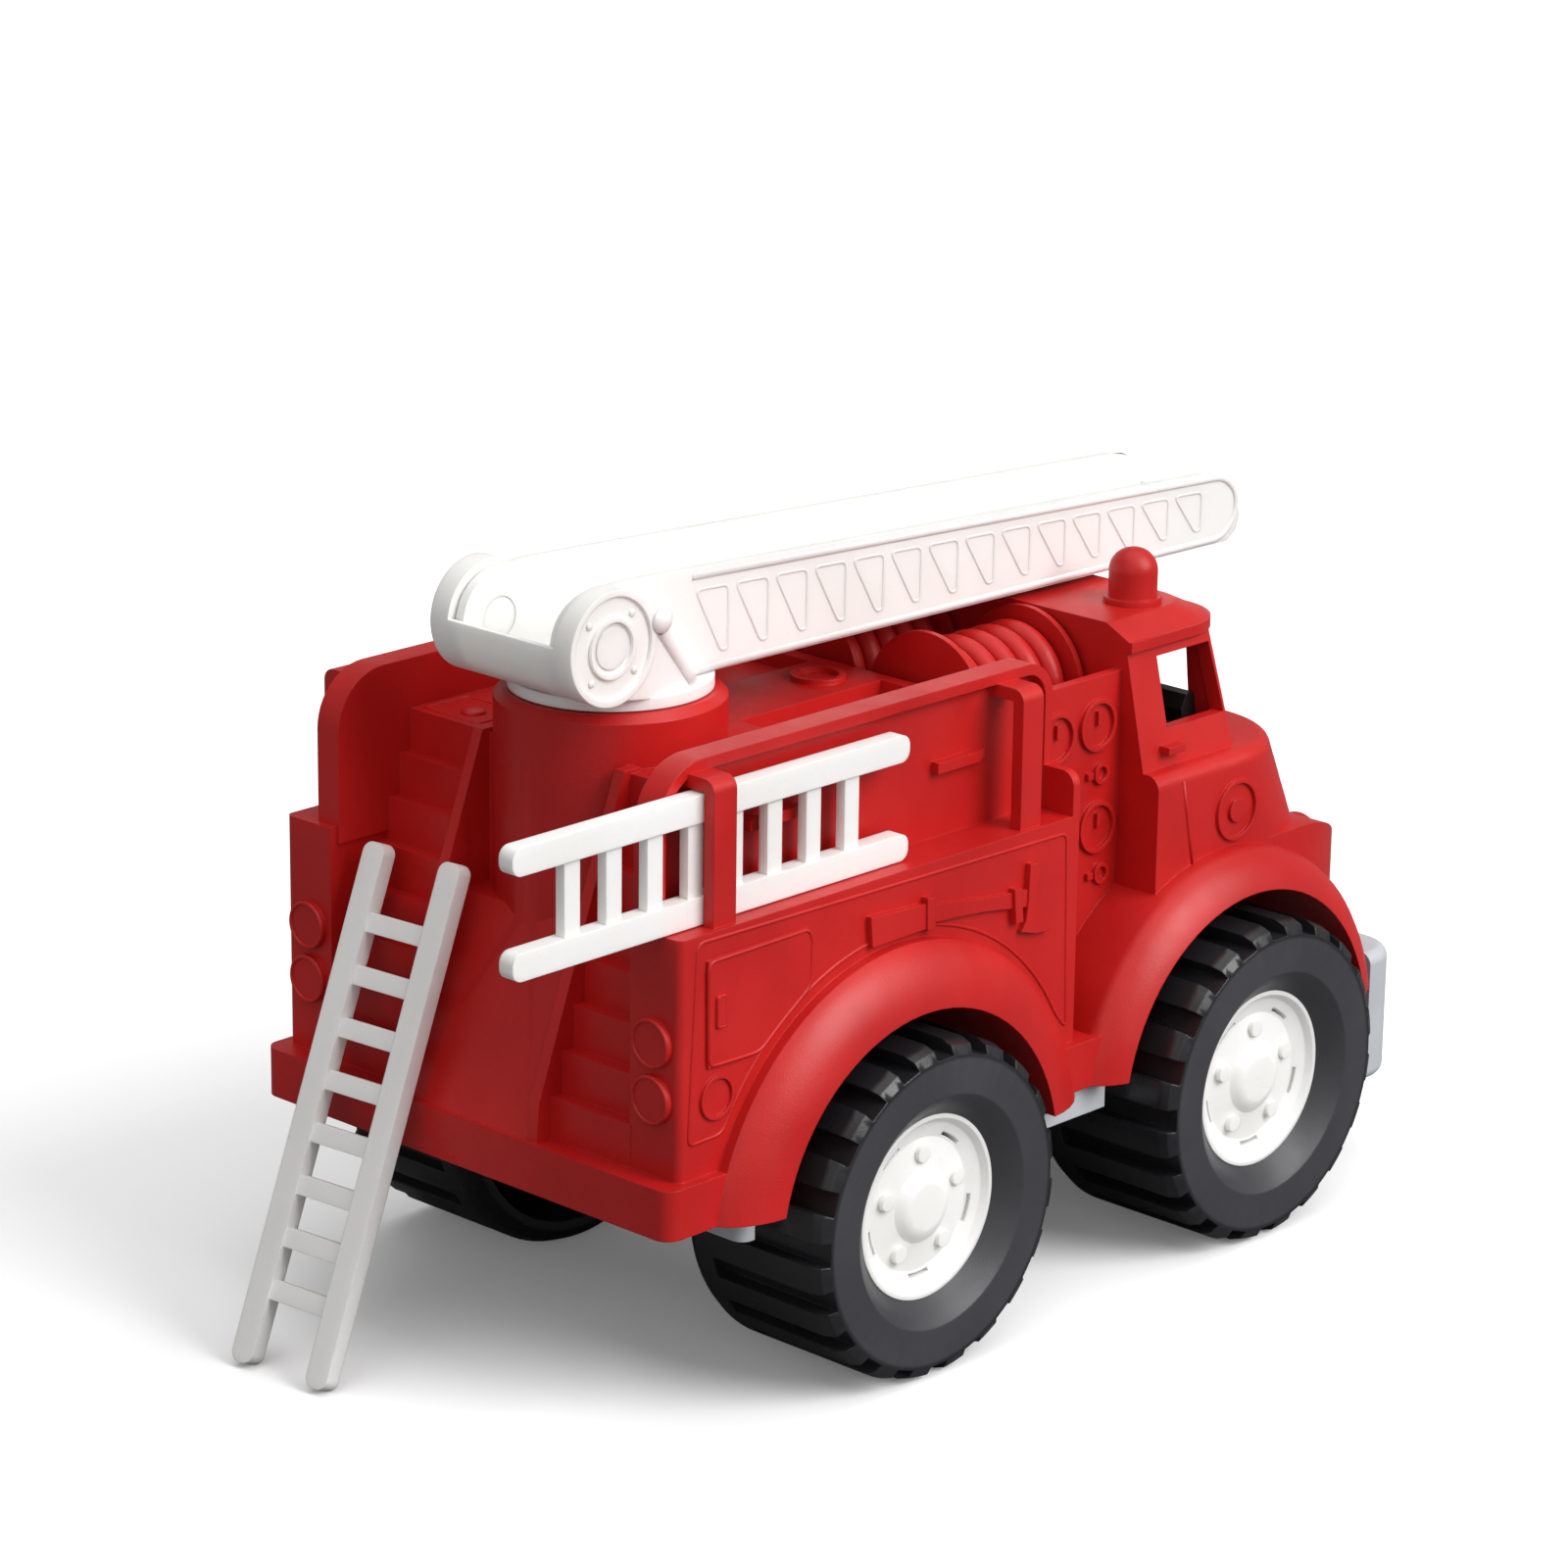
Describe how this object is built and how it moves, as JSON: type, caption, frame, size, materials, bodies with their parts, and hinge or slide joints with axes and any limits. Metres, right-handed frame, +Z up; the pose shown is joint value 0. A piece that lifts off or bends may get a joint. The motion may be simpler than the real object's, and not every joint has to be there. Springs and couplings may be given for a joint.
{
  "type": "toy fire engine",
  "caption": "Moulded toy fire engine with an open cab, two ladders, free-rolling wheels and a turntable boom that swivels and lifts.",
  "frame": {"origin": "on the ground plane, under the centre of the whole object's box at rest: mid-width of the truck and mid-way between the front bumper and the rear tip of the racked ladder", "axes": "+Z up, the truck's front faces -Y, +X is the truck's left side"},
  "size_m": [0.159, 0.3064, 0.1826],
  "materials": {
    "red_plastic": "satin, fine moulded grain",
    "grey_plastic": "satin light grey",
    "black_plastic": "satin black",
    "white_plastic": "satin warm white",
    "tyre_plastic": "satin charcoal, hard plastic tyre"
  },
  "bodies": {
    "truck": {"body_shell": "red_plastic", "chassis": "grey_plastic", "cab_interior": "black_plastic", "beacon": "red_plastic"},
    "front_wheels": {"axle_front": "grey_plastic", "hub_front_left": "white_plastic", "hub_front_right": "white_plastic", "tyre_front_left": "tyre_plastic", "tyre_front_right": "tyre_plastic"},
    "rear_wheels": {"axle_rear": "grey_plastic", "hub_rear_left": "white_plastic", "hub_rear_right": "white_plastic", "tyre_rear_left": "tyre_plastic", "tyre_rear_right": "tyre_plastic"},
    "turntable": {"turntable": "white_plastic", "turntable_clip": "white_plastic", "pivot_pin_left": "white_plastic", "pivot_pin_right": "white_plastic"},
    "boom": {"boom": "white_plastic"},
    "stored_ladder": {"ladder_racked": "white_plastic"},
    "loose_ladder": {"ladder_leaning": "white_plastic"}
  },
  "joints": [
    {"name": "front_wheels_roll", "type": "hinge", "parent": "truck", "child": "front_wheels", "pos_m": [0, -0.0797, 0.04], "axis": [1, 0, 0], "continuous": true},
    {"name": "rear_wheels_roll", "type": "hinge", "parent": "truck", "child": "rear_wheels", "pos_m": [0, 0.0395, 0.04], "axis": [1, 0, 0], "continuous": true},
    {"name": "turntable_swivel", "type": "hinge", "parent": "truck", "child": "turntable", "pos_m": [0, 0.0665, 0.1529], "axis": [0, 0, 1], "range_deg": [-3, 335]},
    {"name": "boom_lift", "type": "hinge", "parent": "turntable", "child": "boom", "pos_m": [0, 0.0876, 0.1694], "axis": [-1, 0, 0], "range_deg": [0, 70]},
    {"name": "stored_ladder_slide", "type": "slide", "parent": "truck", "child": "stored_ladder", "axis": [0, 1, 0], "range_m": [-0.046, 0.07]},
    {"name": "loose_ladder_slide", "type": "slide", "parent": "truck", "child": "loose_ladder", "axis": [0, 1, 0], "range_m": [0, 0.06]}
  ]
}
